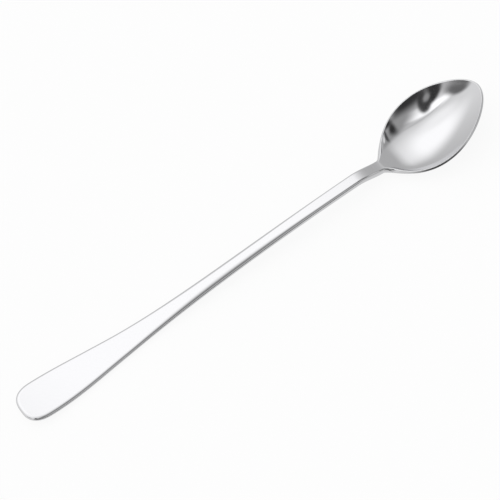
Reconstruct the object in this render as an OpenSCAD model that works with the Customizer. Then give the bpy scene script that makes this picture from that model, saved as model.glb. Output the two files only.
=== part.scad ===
// Iced tea spoon in polished steel: small oval bowl, waisted neck, long slim stem and flared handle.
// X runs from the handle's blunt end to the bowl's tip, Y across, Z up from the table. Millimetres.

/* [Bowl] */
// Length of the bowl's oval, from its heel to its tip
bowl_l = 44; // [40:0.5:50]
// Distance by which the bowl's widest place lies behind the oval's middle
wide_back = 0.3; // [0:0.1:2]
// Width of the bowl over its rim
bowl_w = 29.6; // [25:0.2:34]
// Depth of the bowl below its rim
bowl_depth = 5.4; // [4.6:0.2:7]
// Thickness of the bowl's wall
bowl_wall = 1; // [0.8:0.1:1.5]
// How far the rounding of the bowl's rim reaches in
rim_round = 0.3; // [0.2:0.05:0.6]
// Angle at which the rim rises from the heel to the tip, in degrees
bowl_tilt = 15.6; // [8:0.2:18]
// Length of the straight root behind the bowl's heel
root_l = 3; // [2:0.5:5]
// Length over which the bowl's keel thins from the neck down to its wall
thin_l = 20; // [14:1:24]
// Length over which the bowl's rim thins from the neck's edge down to its wall
trim_l = 10; // [8:1:13]
// Reach of the hollow curve that joins the bowl's outline to the neck
join_l = 2.5; // [1.5:0.1:4]

/* [Neck] */
// Width of the neck at its waist
neck_w = 5.1; // [4.4:0.1:6]
// Thickness of the neck
neck_t = 2.8; // [2.2:0.1:3.4]
// Length of the neck, from the top of the stem's bow to the bowl's root
neck_l = 8; // [7:0.5:14]
// Length of the bend that leads from the stem's bow into the line of the rim
bend_l = 21; // [18:1:26]
// How far the rounding of the neck's edges reaches in
neck_round = 1; // [0.6:0.1:1.3]

/* [Stem] */
// Length of the stem, from the handle to the top of its bow
stem_l = 60; // [50:0.5:95]
// Width of the stem where it is slimmest
stem_w = 5; // [4.2:0.1:6]
// Thickness of the stem
stem_t = 2.6; // [2.2:0.1:3.2]
// Height of the stem's mid line over the table, at the top of its bow
stem_rise = 5.5; // [5:0.1:8]
// How far the rounding of the stem's edges reaches in where the stem meets the handle
stem_round = 2; // [1:0.1:2.1]

/* [Handle] */
// Length of the flared handle, from its end to the stem
handle_l = 80; // [70:1:90]
// Width of the handle where it is broadest
handle_w = 15.1; // [12:0.1:18]
// Thickness of the handle
handle_t = 1.8; // [1.6:0.1:2.4]
// Length of the handle's rounded end
end_l = 8.7; // [7:0.1:12]
// Height by which the handle's end is lifted off the table
end_lift = 1.9; // [0.4:0.1:2.8]
// Distance from the handle's end to the flat on which it rests
rest_from = 30; // [24:1:34]
// Length of the flat on which the handle rests
rest_l = 10; // [6:1:12]
// How far the rounding of the handle's edges reaches in
handle_round = 1.3; // [0.8:0.1:1.6]

/* [Hidden] */
steel = [0.78, 0.78, 0.79];
// Powers of the curves: the blunt end, the edges, the rim
end_power = 2.65;
edge_power = 1;
rim_power = 0.5;
// Powers with which the bowl deepens from its tip and from its heel
tip_power = 1;
heel_power = 1.4;
// Shares: how early the flare draws in, and how soon the stem rises
flare_share = 6.6;
rise_share = 0.76;
// Shares: how square the bowl's dish is at its tip, where below 0 it runs out in a straight wall, and how
// much squarer it is at its heel
square_share = -0.18;
heel_share = 1.1;
// Shares by which the bowl's oval is slimmer than an ellipse and tapers to its heel
slim_share = 0.19;
taper_share = 0.36;
// Share of the rim's thickness by which its face leans out from its upper to its lower edge
lean_share = 0.1;
// Places along the length, counted from the handle's end
rest_to = rest_from + rest_l;
bow = handle_l + stem_l;
root = bow + neck_l;
heel = root + root_l;
bowl_half = bowl_l / 2;
bowl_mid = heel + bowl_half;
total_l = heel + bowl_l;
// Points across the bowl, steps round an edge, and stations along each stretch
across_n = 17;
edge_n = 8;
end_n = 10;
lift_n = 6;
flare_n = 10;
stem_n = 12;
neck_n = 7;
root_n = 2;
bowl_n = 36;
// Steps in length and in degrees for slopes, and the angle short of the tip where they stay true
tiny_share = 0.00005;
tiny_l = total_l * tiny_share;
tiny_a = 0.01;
last_a = 86;
// Angles between which the bowl's lowest place is looked for, and their step
low_a = 70;
low_step = 2;
// Where the bowl is deepest, as a share of its half length, and the height of the rim's line at the bowl's
// middle, at which the bowl stands on the table
deep_share = (heel_power - tip_power) / (heel_power + tip_power);
deep_most = pow(1 - deep_share, tip_power) * pow(1 + deep_share, heel_power);
bowl_mid_z = max([for (a = [-low_a:low_step:low_a]) let (u = bowl_place(a), k = bent(u))
    (dish(a) + keel_t(u) / 2 - (1 - k) * stem_z(u)) / k - tan(bowl_tilt) * (u - bowl_mid)]);

function unit(v) = v / norm(v);
function within(v) = max(0, min(1, v));
function ease(v) = let (c = within(v)) c * c * (3 - 2 * c);
function wave(v) = (1 - cos(180 * within(v))) / 2;
function raise(v, p) = sign(v) * pow(abs(v), p);

// Mid line of the spoon seen from the side
function stem_z(u) = handle_t / 2
    + end_lift * pow(max(0, rest_from - u) / rest_from, 2)
    + (stem_rise - handle_t / 2) * wave(pow(within((u - rest_to) / (bow - rest_to)), rise_share));
function rim_z(u) = bowl_mid_z + tan(bowl_tilt) * (u - bowl_mid);
function bent(u) = ease((u - bow) / bend_l);
function mid_z(u) = let (k = bent(u)) (1 - k) * stem_z(u) + k * rim_z(u);

// Thickness of the metal along the keel and at the rim, thinning from the neck to the wall over a length
function thickness(u, length) = handle_t
    + (stem_t - handle_t) * ease((u - rest_to) / (handle_l - rest_to))
    + (neck_t - stem_t) * ease((u - bow) / neck_l)
    + (bowl_wall - neck_t) * ease((u - root) / length);
function keel_t(u) = thickness(u, thin_l);
function rim_t(u) = thickness(u, trim_l);

// Reach and power of the rounded edge, and how far its upper edge lies inside the middle of its face
function trimmed(u) = ease((u - root) / trim_l);
function side_round(u) = handle_round
    + (stem_round - handle_round) * ease((u - rest_to) / (handle_l - rest_to))
    + (neck_round - stem_round) * ease((u - handle_l) / stem_l);
function edge(u) = side_round(u) + (rim_round - side_round(u)) * trimmed(u);
function round_power(u) = edge_power + (rim_power - edge_power) * trimmed(u);
function lean(u) = lean_share * trimmed(u) * rim_t(u) / 2;

// Outline seen from above, as place along the length and half width: the blunt end, the sides, the bowl
function end_outline(a) = [
    end_l * (1 - raise(cos(a), 2 / end_power)),
    handle_w / 2 * raise(sin(a), 2 / end_power)];
function flare(u) = let (x = within((u - end_l) / (bow - end_l)))
    pow((1 - x * x) / (1 + flare_share * x * x), 2);
function side_outline(u) = [u,
    stem_w / 2 + (handle_w - stem_w) / 2 * flare(u) + (neck_w - stem_w) / 2 * ease((u - bow) / neck_l)];
function bowl_place(a) = bowl_mid + bowl_half * sin(a) - wide_back * cos(a) * cos(a);
function bowl_outline(a) = let (
    taper = 1 + taper_share * pow((1 - sin(a)) / 2, 2),
    oval = bowl_w / 2 * pow(abs(cos(a)), taper) * (1 - slim_share * pow(sin(a), 2)),
    near = max(0, 1 - abs(oval - neck_w / 2) / join_l),
    joined = sin(a) < 0 ? max(oval, neck_w / 2) + join_l / 4 * pow(near, 2) : oval)
    [bowl_place(a), sign(cos(a)) * joined];

// Depth of the bowl's dish below its rim along the keel, and how it falls away across
function dish(a) = bowl_depth * pow(1 - sin(a), tip_power) * pow(1 + sin(a), heel_power) / deep_most;
function across(a, e) = let (square = square_share + heel_share * pow((1 - sin(a)) / 2, 3))
    1 - (1 - square) * e * e - square * pow(e, 4);

// Mid surface inside the rounded edge: o is the outline point and d its direction
function inset(o, d) = let (reach = edge(o[0]) + lean(o[0])) [o[0] + reach * d[1], o[1] - reach * d[0]];
function end_way(a) = unit(end_outline(a + tiny_a) - end_outline(a - tiny_a));
function bowl_way(a) = unit(bowl_outline(a + tiny_a) - bowl_outline(a - tiny_a));
function bowl_surface(a, e) = let (m = inset(bowl_outline(a), bowl_way(a)))
    [m[0], e * m[1], mid_z(m[0]) - dish(a) * across(a, e)];
function bowl_up(angle, e) = let (a = min(angle, last_a)) unit(cross(
    bowl_surface(a + tiny_a, e) - bowl_surface(a - tiny_a, e),
    bowl_surface(a, e + tiny_a) - bowl_surface(a, e - tiny_a)));
function line_up(u) = unit([mid_z(u - tiny_l) - mid_z(u + tiny_l), 0, 2 * tiny_l]);

// One ring round the metal at u: along the top, round one edge, back underneath and round the other edge
flat_places = [-1, 1];
bowl_places = [for (j = [0:across_n - 1]) sin(180 * j / (across_n - 1) - 90)];
function rounding(p, up, out, u, a) = let (high = raise(cos(a), round_power(u)))
    p + rim_t(u) / 2 * high * up + (edge(u) * pow(sin(a), round_power(u)) + lean(u) * (1 - high)) * out;
function half_round(p, up, out, u, from, to) = [for (i = [from:sign(to - from):to])
    rounding(p, up, out, u, 180 * i / edge_n)];
function ring(places, mid, up, out, u) = let (
    last = len(places) - 1,
    top = [for (j = [0:last]) mid[j] + keel_t(u) / 2 * up[j]],
    under = [for (j = [0:last]) top[j] - (keel_t(u) + (rim_t(u) - keel_t(u)) * pow(places[j], 2)) * up[j]])
    concat(top,
        half_round((top[last] + under[last]) / 2, up[last], out, u, 1, edge_n - 1),
        [for (j = [last:-1:0]) under[j]],
        half_round((top[0] + under[0]) / 2, up[0], [out[0], -out[1], out[2]], u, edge_n - 1, 1));

// Rings of the flat stretches, square to the mid line, and of the bowl
function flat_ring(o, d, places) = let (m = inset(o, d), up = line_up(m[0])) ring(places,
    [for (e = places) [m[0], e * m[1], mid_z(m[0])]], [for (e = places) up],
    unit(cross(up, [d[0], d[1], 0])), o[0]);
function end_ring(a) = flat_ring(end_outline(a), end_way(a), flat_places);
function side_ring(u, places = flat_places) = flat_ring(side_outline(u), [1, 0], places);
function bowl_ring(a) = let (o = bowl_outline(a), d = bowl_way(a)) ring(bowl_places,
    [for (e = bowl_places) bowl_surface(a, e)], [for (e = bowl_places) bowl_up(a, e)],
    unit(cross(bowl_up(a, 1), [d[0], d[1], 0])), o[0]);

// The half round that closes the handle's end or the bowl's tip
function end_close() = let (m = inset(end_outline(0), [0, 1]), up = line_up(m[0]))
    half_round([m[0], 0, mid_z(m[0])], up, unit(cross(up, [0, 1, 0])), 0, 0, edge_n);
function tip_close() = let (up = bowl_up(90, 0))
    half_round(bowl_surface(90, 0), up, unit(cross(up, [0, -1, 0])), total_l, 0, edge_n);

// Stations in n even steps, without the first one
function even(from, to, n) = [for (i = [1:n]) from + (to - from) * i / n];

// Point of the closing half round that faces point j of a ring with n points
function facing(j, n) = let (top_n = n / 2 - edge_n + 1)
    j < top_n ? 0 :
    j < top_n + edge_n ? j - top_n + 1 :
    j < 2 * top_n + edge_n - 1 ? edge_n : n - j;

// Closed skin over rings that run towards +X, shut by a flat face or, where given, by a half round
module skin(rings, first_close = [], last_close = []) {
    rings_n = len(rings);
    ring_n = len(rings[0]);
    first_at = rings_n * ring_n;
    last_at = first_at + len(first_close);
    last = (rings_n - 1) * ring_n;
    sides = [for (i = [0:rings_n - 2], j = [0:ring_n - 1]) let (
        a = i * ring_n + j, b = i * ring_n + (j + 1) % ring_n)
        each [[a, b, b + ring_n], [a, b + ring_n, a + ring_n]]];
    first_faces = len(first_close) == 0 ? [[for (j = [ring_n - 1:-1:0]) j]] :
        [for (j = [0:ring_n - 1]) let (k = (j + 1) % ring_n, a = first_at + facing(j, ring_n),
            b = first_at + facing(k, ring_n))
            each concat([[a, k, j]], a == b ? [] : [[a, b, k]])];
    last_faces = len(last_close) == 0 ? [[for (j = [0:ring_n - 1]) last + j]] :
        [for (j = [0:ring_n - 1]) let (k = (j + 1) % ring_n, a = last_at + facing(j, ring_n),
            b = last_at + facing(k, ring_n))
            each concat([[a, last + j, last + k]], a == b ? [] : [[a, last + k, b]])];
    translate([-total_l / 2, 0, 0])
        polyhedron([each each rings, each first_close, each last_close],
            concat(sides, first_faces, last_faces), convexity = 6);
}

// Oval bowl with its short root
module bowl() {
    color(steel)
        skin(concat([for (u = concat(root, even(root, heel, root_n))) side_ring(u, bowl_places)],
            [for (i = [1:bowl_n - 1]) bowl_ring(180 * i / bowl_n - 90)]),
            last_close = tip_close());
}

// Waisted neck that bends down from the stem to the bowl
module neck() {
    color(steel)
        skin([for (u = concat(bow, even(bow, root, neck_n))) side_ring(u)]);
}

// Long slim stem
module stem() {
    color(steel)
        skin([for (u = concat(handle_l, even(handle_l, bow, stem_n))) side_ring(u)]);
}

// Flared handle with its blunt, slightly lifted end
module handle() {
    stations = concat(even(end_l, rest_from, lift_n), rest_to, even(rest_to, handle_l, flare_n));
    color(steel)
        skin(concat([for (a = even(0, 90, end_n)) end_ring(a)], [for (u = stations) side_ring(u)]),
            first_close = end_close());
}

bowl();
neck();
stem();
handle();
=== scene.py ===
import math

import bpy
import numpy as np
from mathutils import Matrix, Vector


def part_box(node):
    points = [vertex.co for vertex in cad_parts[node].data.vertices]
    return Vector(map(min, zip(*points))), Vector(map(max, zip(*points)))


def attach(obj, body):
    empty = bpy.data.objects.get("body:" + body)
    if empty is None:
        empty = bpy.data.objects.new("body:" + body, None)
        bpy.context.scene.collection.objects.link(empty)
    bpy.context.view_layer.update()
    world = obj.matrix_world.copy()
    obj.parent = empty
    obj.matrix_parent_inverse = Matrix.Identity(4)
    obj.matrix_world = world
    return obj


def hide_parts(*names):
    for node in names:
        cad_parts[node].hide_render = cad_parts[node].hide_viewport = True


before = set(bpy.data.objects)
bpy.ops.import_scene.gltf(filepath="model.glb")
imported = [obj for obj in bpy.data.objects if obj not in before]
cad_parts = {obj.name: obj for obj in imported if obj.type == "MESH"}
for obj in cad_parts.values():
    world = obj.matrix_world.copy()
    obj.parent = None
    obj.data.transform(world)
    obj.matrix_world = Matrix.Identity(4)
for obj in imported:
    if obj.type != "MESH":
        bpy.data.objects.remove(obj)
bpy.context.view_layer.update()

MM = 0.001
start_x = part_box("handle")[0].x


# Sizes of the spoon, the same as those of its solids
def seam(left, right):
    """Place along the length, from the handle's end, at which two neighbouring solids meet."""
    return (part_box(left)[1].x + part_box(right)[0].x) / 2 - start_x


handle_l = seam("handle", "stem")
bow = seam("stem", "neck")
root = seam("neck", "bowl")
root_l = 3 * MM
bowl_l = 44 * MM
wide_back = 0.3 * MM
bowl_w = 29.6 * MM
bowl_depth = 5.4 * MM
bowl_wall = 1 * MM
rim_round = 0.3 * MM
bowl_tilt = math.radians(15.6)
thin_l = 20 * MM
trim_l = 10 * MM
join_l = 2.5 * MM
neck_w = 5.1 * MM
neck_t = 2.8 * MM
bend_l = 21 * MM
stem_w = 5 * MM
stem_t = 2.6 * MM
stem_rise = 5.5 * MM
handle_w = 15.1 * MM
handle_t = 1.8 * MM
end_l = 8.7 * MM
end_lift = 1.9 * MM
rest_from = 30 * MM
rest_l = 10 * MM
handle_round = 1.3 * MM
stem_round = 2 * MM
neck_round = 1 * MM
# Powers of the curves, and shares that shape the flare, the rise of the stem, the dish, the oval and the rim
end_power = 2.65
edge_power = 1
rim_power = 0.5
tip_power = 1
heel_power = 1.4
flare_share = 6.6
rise_share = 0.76
square_share = -0.18
heel_share = 1.1
slim_share = 0.19
taper_share = 0.36
lean_share = 0.1
# Places along the length, counted from the handle's end, and where the bowl is deepest
rest_to = rest_from + rest_l
heel = root + root_l
bowl_half = bowl_l / 2
bowl_mid = heel + bowl_half
total_l = heel + bowl_l
deep_share = (heel_power - tip_power) / (heel_power + tip_power)
deep_most = (1 - deep_share) ** tip_power * (1 + deep_share) ** heel_power

# Points across the metal, steps round an edge, stations along each stretch
ACROSS_N = 33
EDGE_N = 14
END_N = 30
HANDLE_N = 60
STEM_N = 40
NECK_N = 18
ROOT_N = 6
BOWL_N = 110
# Small steps for slopes, and the angle short of the tip where they stay true
TINY_L = 0.01 * MM
TINY_A = 0.0002
LAST_A = math.radians(88)
# Angles in degrees between which the bowl's lowest place is looked for, and their step
LOW_A = 70
LOW_STEP = 2


# Shape of the spoon
def unit(v):
    return v / np.linalg.norm(v, axis=-1, keepdims=True)


def within(v):
    return np.clip(v, 0, 1)


def ease(v):
    c = within(v)
    return c * c * (3 - 2 * c)


def wave(v):
    return (1 - np.cos(np.pi * within(v))) / 2


def raised(v, power):
    return np.sign(v) * np.abs(v) ** power


def thickness(u, length):
    """Thickness at u of metal that thins from the neck to the bowl's wall over this length."""
    return (handle_t
            + (stem_t - handle_t) * ease((u - rest_to) / (handle_l - rest_to))
            + (neck_t - stem_t) * ease((u - bow) / (root - bow))
            + (bowl_wall - neck_t) * ease((u - root) / length))


def keel_t(u):
    return thickness(u, thin_l)


def rim_t(u):
    return thickness(u, trim_l)


def trimmed(u):
    """Share by which the edge has changed from the neck's edge to the bowl's rim."""
    return ease((u - root) / trim_l)


def side_round(u):
    """Reach of the rounded edge along the handle, the stem and the neck."""
    return (handle_round
            + (stem_round - handle_round) * ease((u - rest_to) / (handle_l - rest_to))
            + (neck_round - stem_round) * ease((u - handle_l) / (bow - handle_l)))


def edge(u):
    return side_round(u) + (rim_round - side_round(u)) * trimmed(u)


def round_power(u):
    return edge_power + (rim_power - edge_power) * trimmed(u)


def lean(u):
    """How far the rim's upper edge lies inside the middle of its face."""
    return lean_share * trimmed(u) * rim_t(u) / 2


def dish(a):
    """Depth of the bowl's dish below its rim along the keel."""
    return bowl_depth * (1 - np.sin(a)) ** tip_power * (1 + np.sin(a)) ** heel_power / deep_most


def across(a, e):
    """How the dish falls away from the keel, e = 0, to the rim, e = 1."""
    square = square_share + heel_share * ((1 - np.sin(a)) / 2) ** 3
    return 1 - (1 - square) * e**2 - square * e**4


def bowl_place(a):
    return bowl_mid + bowl_half * np.sin(a) - wide_back * np.cos(a) ** 2


def stem_z(u):
    return (handle_t / 2
            + end_lift * (np.maximum(0, rest_from - u) / rest_from) ** 2
            + (stem_rise - handle_t / 2) * wave(within((u - rest_to) / (bow - rest_to)) ** rise_share))


def bent(u):
    """Share by which the line of the stem has bent into the line of the rim."""
    return ease((u - bow) / bend_l)


def bowl_height():
    """Height of the rim's line at the middle of the bowl when the bowl stands on the table."""
    a = np.radians(np.arange(-LOW_A, LOW_A + LOW_STEP, LOW_STEP))
    u = bowl_place(a)
    under = dish(a) + keel_t(u) / 2 - (1 - bent(u)) * stem_z(u)
    return np.max(under / bent(u) - math.tan(bowl_tilt) * (u - bowl_mid))


bowl_mid_z = bowl_height()


def mid_z(u):
    """Height of the metal's mid line over the table."""
    return (1 - bent(u)) * stem_z(u) + bent(u) * (bowl_mid_z + math.tan(bowl_tilt) * (u - bowl_mid))


def end_outline(a):
    return np.stack([end_l * (1 - raised(np.cos(a), 2 / end_power)),
                     handle_w / 2 * raised(np.sin(a), 2 / end_power)], -1)


def side_outline(u):
    x = within((u - end_l) / (bow - end_l))
    flare = ((1 - x * x) / (1 + flare_share * x * x)) ** 2
    return np.stack([u, stem_w / 2 + (handle_w - stem_w) / 2 * flare
                     + (neck_w - stem_w) / 2 * ease((u - bow) / (root - bow))], -1)


def bowl_outline(a):
    taper = 1 + taper_share * ((1 - np.sin(a)) / 2) ** 2
    oval = bowl_w / 2 * np.abs(np.cos(a)) ** taper * (1 - slim_share * np.sin(a) ** 2)
    near = np.maximum(0, 1 - np.abs(oval - neck_w / 2) / join_l)
    joined = np.where(np.sin(a) < 0, np.maximum(oval, neck_w / 2) + join_l / 4 * near**2, oval)
    return np.stack([bowl_place(a), np.sign(np.cos(a)) * joined], -1)


def way(outline, a):
    return unit(outline(a + TINY_A) - outline(a - TINY_A))


def inset(o, d):
    """Outline points o with direction d, moved in by the reach of the rounded edge."""
    reach = edge(o[..., 0]) + lean(o[..., 0])
    return np.stack([o[..., 0] + reach * d[..., 1], o[..., 1] - reach * d[..., 0]], -1)


def bowl_surface(a, e):
    m = inset(bowl_outline(a), way(bowl_outline, a))
    return np.stack([m[..., 0], e * m[..., 1], mid_z(m[..., 0]) - dish(a) * across(a, e)], -1)


def bowl_up(a, e):
    a = np.minimum(a, LAST_A)
    return unit(np.cross(bowl_surface(a + TINY_A, e) - bowl_surface(a - TINY_A, e),
                         bowl_surface(a, e + TINY_A) - bowl_surface(a, e - TINY_A)))


def line_up(u):
    return unit(np.stack([mid_z(u - TINY_L) - mid_z(u + TINY_L), 0 * u, 0 * u + 2 * TINY_L], -1))


def rounded(p, up, out, u, steps):
    """Points of half rounds at u, from the top, step 0, to the underside, step EDGE_N."""
    a = np.pi * np.asarray(steps) / EDGE_N
    u = np.asarray(u)[..., None]
    high = raised(np.cos(a), round_power(u))
    rise = rim_t(u) / 2 * high
    reach = edge(u) * within(np.sin(a)) ** round_power(u) + lean(u) * (1 - high)
    return p[..., None, :] + rise[..., None] * up[..., None, :] + reach[..., None] * out[..., None, :]


def rings_round(mid, up, out, u):
    """Rings at u along the top, round one edge, back underneath and round the other edge."""
    steps = np.arange(1, EDGE_N)
    keel, rim = keel_t(u)[:, None], rim_t(u)[:, None]
    top = mid + keel[..., None] / 2 * up
    under = top - (keel + (rim - keel) * places**2)[..., None] * up
    middle = (top + under) / 2
    return np.concatenate([
        top,
        rounded(middle[:, -1], up[:, -1], out, u, steps),
        under[:, ::-1],
        rounded(middle[:, 0], up[:, 0], out * [1, -1, 1], u, steps[::-1])], 1)


# Places across the metal, from one edge, -1, to the other, 1
places = np.sin(np.linspace(-np.pi / 2, np.pi / 2, ACROSS_N))


def flat_rings(o, d):
    m = inset(o, d)
    u = np.repeat(m[:, :1], ACROSS_N, 1)
    up = line_up(u)
    out = unit(np.cross(up[:, 0], np.column_stack([d, 0 * u[:, 0]])))
    return rings_round(np.stack([u, places * m[:, 1:], mid_z(u)], -1), up, out, o[:, 0])


def side_rings(u):
    return flat_rings(side_outline(u), np.column_stack([0 * u + 1, 0 * u]))


def bowl_rings(a):
    o, d = bowl_outline(a), way(bowl_outline, a)
    grid_a, grid_e = np.meshgrid(a, places, indexing="ij")
    up = bowl_up(grid_a, grid_e)
    out = unit(np.cross(up[:, -1], np.column_stack([d, 0 * a])))
    return rings_round(bowl_surface(grid_a, grid_e), up, out, o[:, 0])


def stations(start, stop, n):
    return np.linspace(start, stop, n + 1)[1:]


ends = stations(0, np.pi / 2, END_N)
stretches = [
    flat_rings(end_outline(ends), way(end_outline, ends)),
    side_rings(stations(end_l, handle_l, HANDLE_N)),
    side_rings(stations(handle_l, bow, STEM_N)),
    side_rings(stations(bow, root, NECK_N)),
    side_rings(stations(root, heel, ROOT_N)),
    bowl_rings(stations(-np.pi / 2, np.pi / 2, BOWL_N)[:-1]),
]
rings = np.concatenate(stretches)
ring_n = rings.shape[1]

end_point = inset(end_outline(np.zeros(1)), np.array([[0.0, 1.0]]))[0]
end_mid = np.array([end_point[0], 0, mid_z(end_point[0])])
end_up = line_up(np.array(end_point[0]))
end_close = rounded(end_mid, end_up, unit(np.cross(end_up, [0, 1, 0])), 0.0, np.arange(EDGE_N + 1))
tip_up = bowl_up(np.array(np.pi / 2), np.array(0.0))
tip_mid = bowl_surface(np.array(np.pi / 2), np.array(0.0))
tip_close = rounded(tip_mid, tip_up, unit(np.cross(tip_up, [0, -1, 0])), total_l, np.arange(EDGE_N + 1))

# Points of a closing half round that face the points of a ring
facing = np.concatenate([np.zeros(ACROSS_N, int), np.arange(1, EDGE_N), np.full(ACROSS_N, EDGE_N),
                         np.arange(EDGE_N - 1, 0, -1)])
points = np.concatenate([rings.reshape(-1, 3), end_close, tip_close]) + [start_x, 0, 0]
end_at = rings.shape[0] * ring_n
tip_at = end_at + EDGE_N + 1


def side_faces(first, last):
    """Quads between each pair of neighbouring rings from the first to the last."""
    return [(i * ring_n + k, i * ring_n + j, (i + 1) * ring_n + j, (i + 1) * ring_n + k)
            for i in range(first, last) for j in range(ring_n) for k in [(j + 1) % ring_n]]


def close_faces(ring, close_at, turned):
    """Faces between a ring and the half round that shuts it."""
    faces = []
    for j in range(ring_n):
        k = (j + 1) % ring_n
        a, b = close_at + facing[j], close_at + facing[k]
        face = [ring * ring_n + j, ring * ring_n + k] + ([b] if a == b else [b, a])
        faces.append(tuple(face[::-1] if turned else face))
    return faces


def cap(ring, turned):
    face = [ring * ring_n + j for j in range(ring_n)]
    return [tuple(face[::-1] if turned else face)]


counts = [stretch.shape[0] for stretch in stretches]
cut_handle = counts[0] + counts[1] - 1
cut_stem = cut_handle + counts[2]
cut_neck = cut_stem + counts[3]
last_ring = rings.shape[0] - 1
skins = {
    "handle": close_faces(0, end_at, False) + side_faces(0, cut_handle),
    "stem": side_faces(cut_handle, cut_stem),
    "neck": side_faces(cut_stem, cut_neck),
    "bowl": side_faces(cut_neck, last_ring) + close_faces(last_ring, tip_at, True),
}
caps = {
    "handle": cap(cut_handle, True),
    "stem": cap(cut_handle, False) + cap(cut_stem, True),
    "neck": cap(cut_stem, False) + cap(cut_neck, True),
    "bowl": cap(cut_neck, False),
}


def skin_normals():
    """Normal of the whole skin at each point, so that the pieces shade as one."""
    normals = np.zeros_like(points)
    for faces in skins.values():
        for face in faces:
            corner = points[list(face)]
            turn = np.cross(corner[2] - corner[0], corner[-1] - corner[1])
            normals[list(face)] += turn
    return unit(normals)


normals = skin_normals()


# Polished steel
STEEL_COLOUR = (0.57, 0.57, 0.58, 1)
# Size along, across and through the spoon of a polishing mark and of a patch of even gloss
MARK_SIZE = (14 * MM, 0.14 * MM, 0.14 * MM)
PATCH_SIZE = (9 * MM, 5 * MM, 5 * MM)
MARK_DEPTH = 0.01 * MM
MARK_STRENGTH = 0.03
# Roughness of the glossiest and the dullest patch, and what wear adds along the sharpest edges
GLOSS_ROUGHNESS = (0.06, 0.11)
WEAR_ROUGHNESS = 0.1
# Noise between these values, and pointiness between these, count from none to all
NOISE_RANGE = (0.3, 0.7)
EDGE_RANGE = (0.51, 0.58)


def add_node(tree, kind, **settings):
    made = tree.nodes.new(kind)
    for name, value in settings.items():
        setattr(made, name, value)
    return made


def add_noise(tree, place, size):
    """Noise whose spots have the given size along each axis."""
    mapping = add_node(tree, "ShaderNodeMapping")
    mapping.inputs["Scale"].default_value = [1 / length for length in size]
    tree.links.new(place, mapping.inputs["Vector"])
    noise = add_node(tree, "ShaderNodeTexNoise")
    noise.inputs["Scale"].default_value = 1
    tree.links.new(mapping.outputs["Vector"], noise.inputs["Vector"])
    return noise.outputs["Fac"]


def add_range(tree, value, from_range, to_range):
    """Value brought from one range to another."""
    made = add_node(tree, "ShaderNodeMapRange")
    made.inputs["From Min"].default_value, made.inputs["From Max"].default_value = from_range
    made.inputs["To Min"].default_value, made.inputs["To Max"].default_value = to_range
    tree.links.new(value, made.inputs["Value"])
    return made.outputs["Result"]


def add_math(tree, operation, first, second):
    made = add_node(tree, "ShaderNodeMath", operation=operation)
    tree.links.new(first, made.inputs[0])
    tree.links.new(second, made.inputs[1])
    return made.outputs["Value"]


def polished_steel():
    """Steel with faint polishing marks along the spoon, uneven gloss and duller edges."""
    material = bpy.data.materials.new("polished_steel")
    material.use_nodes = True
    tree = material.node_tree
    shader = tree.nodes["Principled BSDF"]
    shader.inputs["Base Color"].default_value = STEEL_COLOUR
    shader.inputs["Metallic"].default_value = 1
    place = add_node(tree, "ShaderNodeTexCoord").outputs["Object"]
    gloss = add_range(tree, add_noise(tree, place, PATCH_SIZE), NOISE_RANGE, GLOSS_ROUGHNESS)
    edges = add_node(tree, "ShaderNodeNewGeometry").outputs["Pointiness"]
    wear = add_range(tree, edges, EDGE_RANGE, (0, WEAR_ROUGHNESS))
    tree.links.new(add_math(tree, "ADD", gloss, wear), shader.inputs["Roughness"])
    bump = add_node(tree, "ShaderNodeBump")
    bump.inputs["Strength"].default_value = MARK_STRENGTH
    bump.inputs["Distance"].default_value = MARK_DEPTH
    tree.links.new(add_noise(tree, place, MARK_SIZE), bump.inputs["Height"])
    tree.links.new(bump.outputs["Normal"], shader.inputs["Normal"])
    return material


def piece(name, material):
    """One closed piece of the spoon, cut out of the skin, that stands for its solid."""
    faces = skins[name] + caps[name]
    used = sorted({p for face in faces for p in face})
    place = {p: i for i, p in enumerate(used)}
    mesh = bpy.data.meshes.new(name + "_polished")
    mesh.from_pydata(points[used].tolist(), [], [[place[p] for p in face] for face in faces])
    mesh.polygons.foreach_set("use_smooth", [True] * len(faces))
    mesh.materials.append(material)
    loops = [normals[p] for face in skins[name] for p in face]
    for polygon in list(mesh.polygons)[len(skins[name]):]:
        loops += [polygon.normal.copy()] * len(polygon.vertices)
    mesh.normals_split_custom_set(loops)
    made = bpy.data.objects.new(name + "_polished", mesh)
    bpy.context.scene.collection.objects.link(made)
    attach(made, "root")
    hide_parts(name)
    return made


steel = polished_steel()
for name in skins:
    piece(name, steel)


# Camera, placed so that the spoon lies in the picture as it does in the photo: the picture's side and the
# focal length are in pixels, the sensor in millimetres and the turn about the line of sight in radians
IMAGE = 500
SENSOR = 36
focal = 1738.16
target = Vector((-1.926, 0.642, 5)) * MM
away = Vector((-0.1857, -0.46, 0.8683)).normalized()
turn = 0.5947
distance = 0.6
along = (Vector((1, 0, 0)) - away * away.x).normalized()
near = along.cross(away)
right = along * math.cos(turn) + near * math.sin(turn)
up = along * math.sin(turn) - near * math.cos(turn)

camera_data = bpy.data.cameras.new("camera")
camera_data.sensor_width = SENSOR
camera_data.lens = focal * SENSOR / IMAGE
camera = bpy.data.objects.new("camera", camera_data)
axes = Matrix((right, up, away)).transposed().to_4x4()
camera.matrix_world = Matrix.Translation(target + away * distance) @ axes
bpy.context.scene.collection.objects.link(camera)
bpy.context.scene.camera = camera

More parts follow.
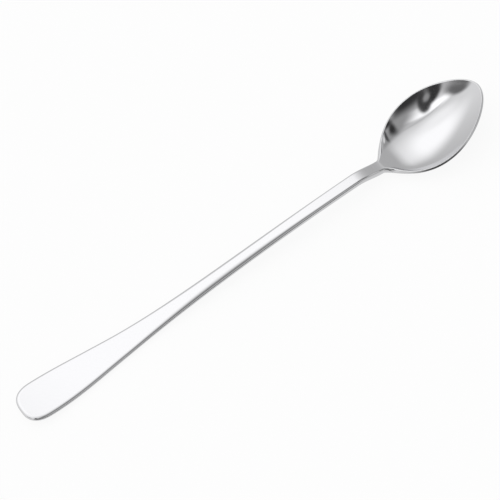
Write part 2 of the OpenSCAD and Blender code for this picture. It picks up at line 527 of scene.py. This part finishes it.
# Studio: a dome of soft boxes and dark flags that the steel mirrors.
# A place on the dome is (x, y) / (1 + z) of its direction: 0 is overhead, 1 is the horizon.
DOME_GREY = 0.72
DOME = [
    # name, centre, half sizes, turn in degrees, brightness, share of the half size that is soft
    ("left_wall", (-0.9, 0.35), (1.1, 0.9), -60, 1.12, 1.2),
    ("right_wall", (0.68, 0.2), (0.3, 0.5), 0, 0.68, 0.6),
    ("soft_box", (-0.04, 0.33), (0.3, 0.29), 0, 1.7, 1.2),
    ("front_glow", (-0.19, 0.08), (0.15, 0.11), 0, 1.5, 1.4),
    ("strip_light", (-0.12, -0.175), (0.33, 0.06), -8, 1.85, 0.6),
    ("crease", (-0.08, -0.085), (0.24, 0.014), 7, 0.8, 0.8),
    ("front_dim", (0, -1.3), (0.45, 0.62), 0, 0.04, 0.5),
    ("front_room", (-0.43, -1.25), (0.5, 0.75), 0, 0.06, 0.5),
    ("front_grey", (0.21, -0.16), (0.38, 0.13), 24, 0.48, 0.7),
    ("front_table", (-0.14, -0.36), (0.26, 0.08), 3, 0.05, 1.2),
    ("arm", (-0.32, -0.28), (0.17, 0.05), 27, 0.05, 0.7),
    ("camera_body", (-0.2, -0.24), (0.05, 0.11), -28, 0.07, 0.5),
    ("pale_patch", (-0.25, -0.28), (0.04, 0.02), 30, 0.45, 1.0),
    ("left_flag", (-0.47, -0.09), (0.06, 0.16), 25, 0.2, 1.0),
    ("right_flag", (0.18, -0.19), (0.05, 0.11), 10, 0.05, 1.2),
    ("right_loop", (0.33, -0.18), (0.04, 0.16), 22, 0.12, 0.9),
    ("right_stand", (0.27, -0.32), (0.1, 0.05), -10, 0.05, 1.2),
    ("right_glow", (0.44, -0.15), (0.05, 0.07), 0, 1.1, 0.8),
]
# Keeps the division finite straight below the spoon
BELOW = 1.0001


def lit(value):
    """Grey of this brightness."""
    return (value, value, value, 1)


def dome_place(tree):
    """Place on the dome of the direction that is looked at."""
    direction = add_node(tree, "ShaderNodeTexCoord").outputs["Generated"]
    parts = add_node(tree, "ShaderNodeSeparateXYZ")
    tree.links.new(direction, parts.inputs["Vector"])
    depth = add_node(tree, "ShaderNodeMath", operation="ADD")
    tree.links.new(parts.outputs["Z"], depth.inputs[0])
    depth.inputs[1].default_value = BELOW
    flat = add_node(tree, "ShaderNodeCombineXYZ")
    for axis in "XY":
        along_axis = add_math(tree, "DIVIDE", parts.outputs[axis], depth.outputs["Value"])
        tree.links.new(along_axis, flat.inputs[axis])
    return flat.outputs["Vector"]


def card_mask(tree, place, centre, half, turn, soft_share):
    """1 inside an oval card, 0 outside it, with a soft edge between."""
    mapping = add_node(tree, "ShaderNodeMapping", vector_type="TEXTURE")
    mapping.inputs["Location"].default_value = (*centre, 0)
    mapping.inputs["Rotation"].default_value = (0, 0, math.radians(turn))
    mapping.inputs["Scale"].default_value = (*half, 1)
    tree.links.new(place, mapping.inputs["Vector"])
    length = add_node(tree, "ShaderNodeVectorMath", operation="LENGTH")
    tree.links.new(mapping.outputs["Vector"], length.inputs[0])
    mask = add_node(tree, "ShaderNodeMapRange", interpolation_type="SMOOTHSTEP")
    mask.inputs["From Min"].default_value = 1 + soft_share / 2
    mask.inputs["From Max"].default_value = 1 - soft_share / 2
    tree.links.new(length.outputs["Value"], mask.inputs["Value"])
    return mask.outputs["Result"]


def studio_dome():
    """World in which each card lies over the grey and over the cards before it."""
    world = bpy.data.worlds.new("studio")
    bpy.context.scene.world = world
    world.use_nodes = True
    tree = world.node_tree
    place = dome_place(tree)
    colour = None
    for name, centre, half, turn, brightness, soft_share in DOME:
        card = add_node(tree, "ShaderNodeMixRGB", name=name)
        card.inputs["Color1"].default_value = lit(DOME_GREY)
        card.inputs["Color2"].default_value = lit(brightness)
        mask = card_mask(tree, place, centre, half, turn, soft_share)
        tree.links.new(mask, card.inputs["Fac"])
        if colour:
            tree.links.new(colour, card.inputs["Color1"])
        colour = card.outputs["Color"]
    tree.links.new(colour, tree.nodes["Background"].inputs["Color"])


studio_dome()

# Floor: white paper that keeps the spoon's shadow, and looks plain white to the camera and in the steel
FLOOR = 3
FLOOR_WHITE = 0.9
FLOOR_DROP = 0.02 * MM
# Share of plain white in what the camera and the steel see of it, where the rest is the lit paper
SHOWN_SHARE = 0.9


def white_paper():
    material = bpy.data.materials.new("white_paper")
    material.use_nodes = True
    tree = material.node_tree
    tree.nodes.clear()
    paper = add_node(tree, "ShaderNodeBsdfDiffuse")
    paper.inputs["Color"].default_value = lit(FLOOR_WHITE)
    white = add_node(tree, "ShaderNodeEmission")
    rays = add_node(tree, "ShaderNodeLightPath").outputs
    mirrored = add_math(tree, "MAXIMUM", rays["Is Glossy Ray"], rays["Is Transmission Ray"])
    seen = add_math(tree, "MAXIMUM", rays["Is Camera Ray"], mirrored)
    shown = add_range(tree, seen, (0, 1), (0, SHOWN_SHARE))
    mix = add_node(tree, "ShaderNodeMixShader")
    tree.links.new(shown, mix.inputs["Fac"])
    tree.links.new(paper.outputs["BSDF"], mix.inputs[1])
    tree.links.new(white.outputs["Emission"], mix.inputs[2])
    out = add_node(tree, "ShaderNodeOutputMaterial")
    tree.links.new(mix.outputs["Shader"], out.inputs["Surface"])
    return material


def floor():
    mesh = bpy.data.meshes.new("floor")
    half = FLOOR / 2
    corners = [(-half, -half, 0), (half, -half, 0), (half, half, 0), (-half, half, 0)]
    mesh.from_pydata(corners, [], [range(len(corners))])
    mesh.materials.append(white_paper())
    made = bpy.data.objects.new("floor", mesh)
    made.location.z = -FLOOR_DROP
    bpy.context.scene.collection.objects.link(made)


floor()

bpy.context.scene.view_settings.view_transform = "Standard"
